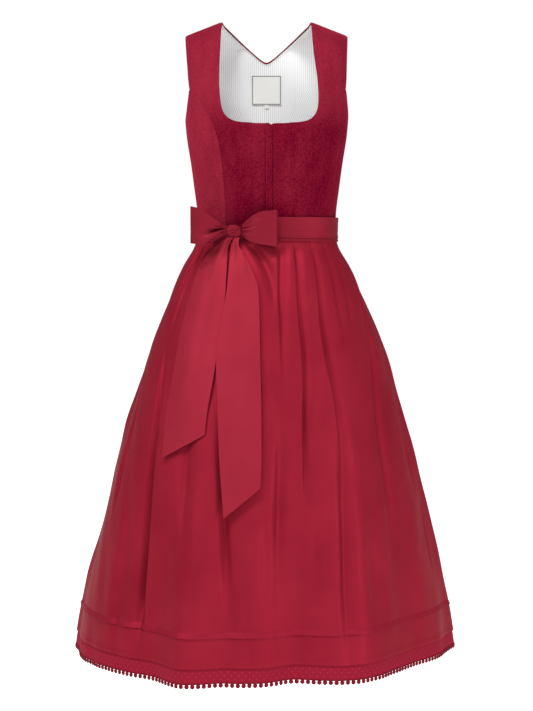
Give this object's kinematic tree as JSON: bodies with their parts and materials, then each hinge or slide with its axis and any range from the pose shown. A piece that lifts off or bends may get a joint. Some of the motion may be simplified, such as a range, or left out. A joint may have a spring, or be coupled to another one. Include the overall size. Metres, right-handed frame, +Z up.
{
  "type": "dirndl",
  "caption": "Sleeveless velvet dirndl with a square neckline, flared dotted midi skirt and pleated satin apron tied in a bow at the front, in its worn hollow form.",
  "frame": {"origin": "midway between the neck ends of the two shoulder seams, where the wearer's shoulders hold the dress", "axes": "+Z up along the wearer's height, -Y to the front, +X to the wearer's left"},
  "size_m": [0.6978, 0.6192, 1.127],
  "materials": {
    "velvet": "velvet",
    "satin": "satin",
    "skirt_cloth": "matte cotton with woven pin dots",
    "trim": "matte braid",
    "lining": "matte striped cotton",
    "label": "matte woven label",
    "zip_tape": "matte tape"
  },
  "bodies": {
    "root": {"front_centre_right": "velvet", "front_centre_left": "velvet", "front_side_right": "velvet", "front_side_left": "velvet", "back_centre": "velvet", "back_side_right": "velvet", "back_side_left": "velvet", "front_lap": "velvet", "zip_tape": "zip_tape", "lining_centre": "lining", "lining_side_right": "lining", "lining_side_left": "lining", "label": "label", "size_tab": "label", "skirt_front": "skirt_cloth", "skirt_back_right": "skirt_cloth", "skirt_back_left": "skirt_cloth", "hem_trim": "trim", "apron": "satin", "apron_tuck": "satin", "apron_waistband": "satin", "tie_right": "satin", "tie_left": "satin", "bow_knot": "satin", "bow_loop_right": "satin", "bow_loop_left": "satin", "bow_tail_short": "satin", "bow_tail_long": "satin"}
  },
  "joints": []
}
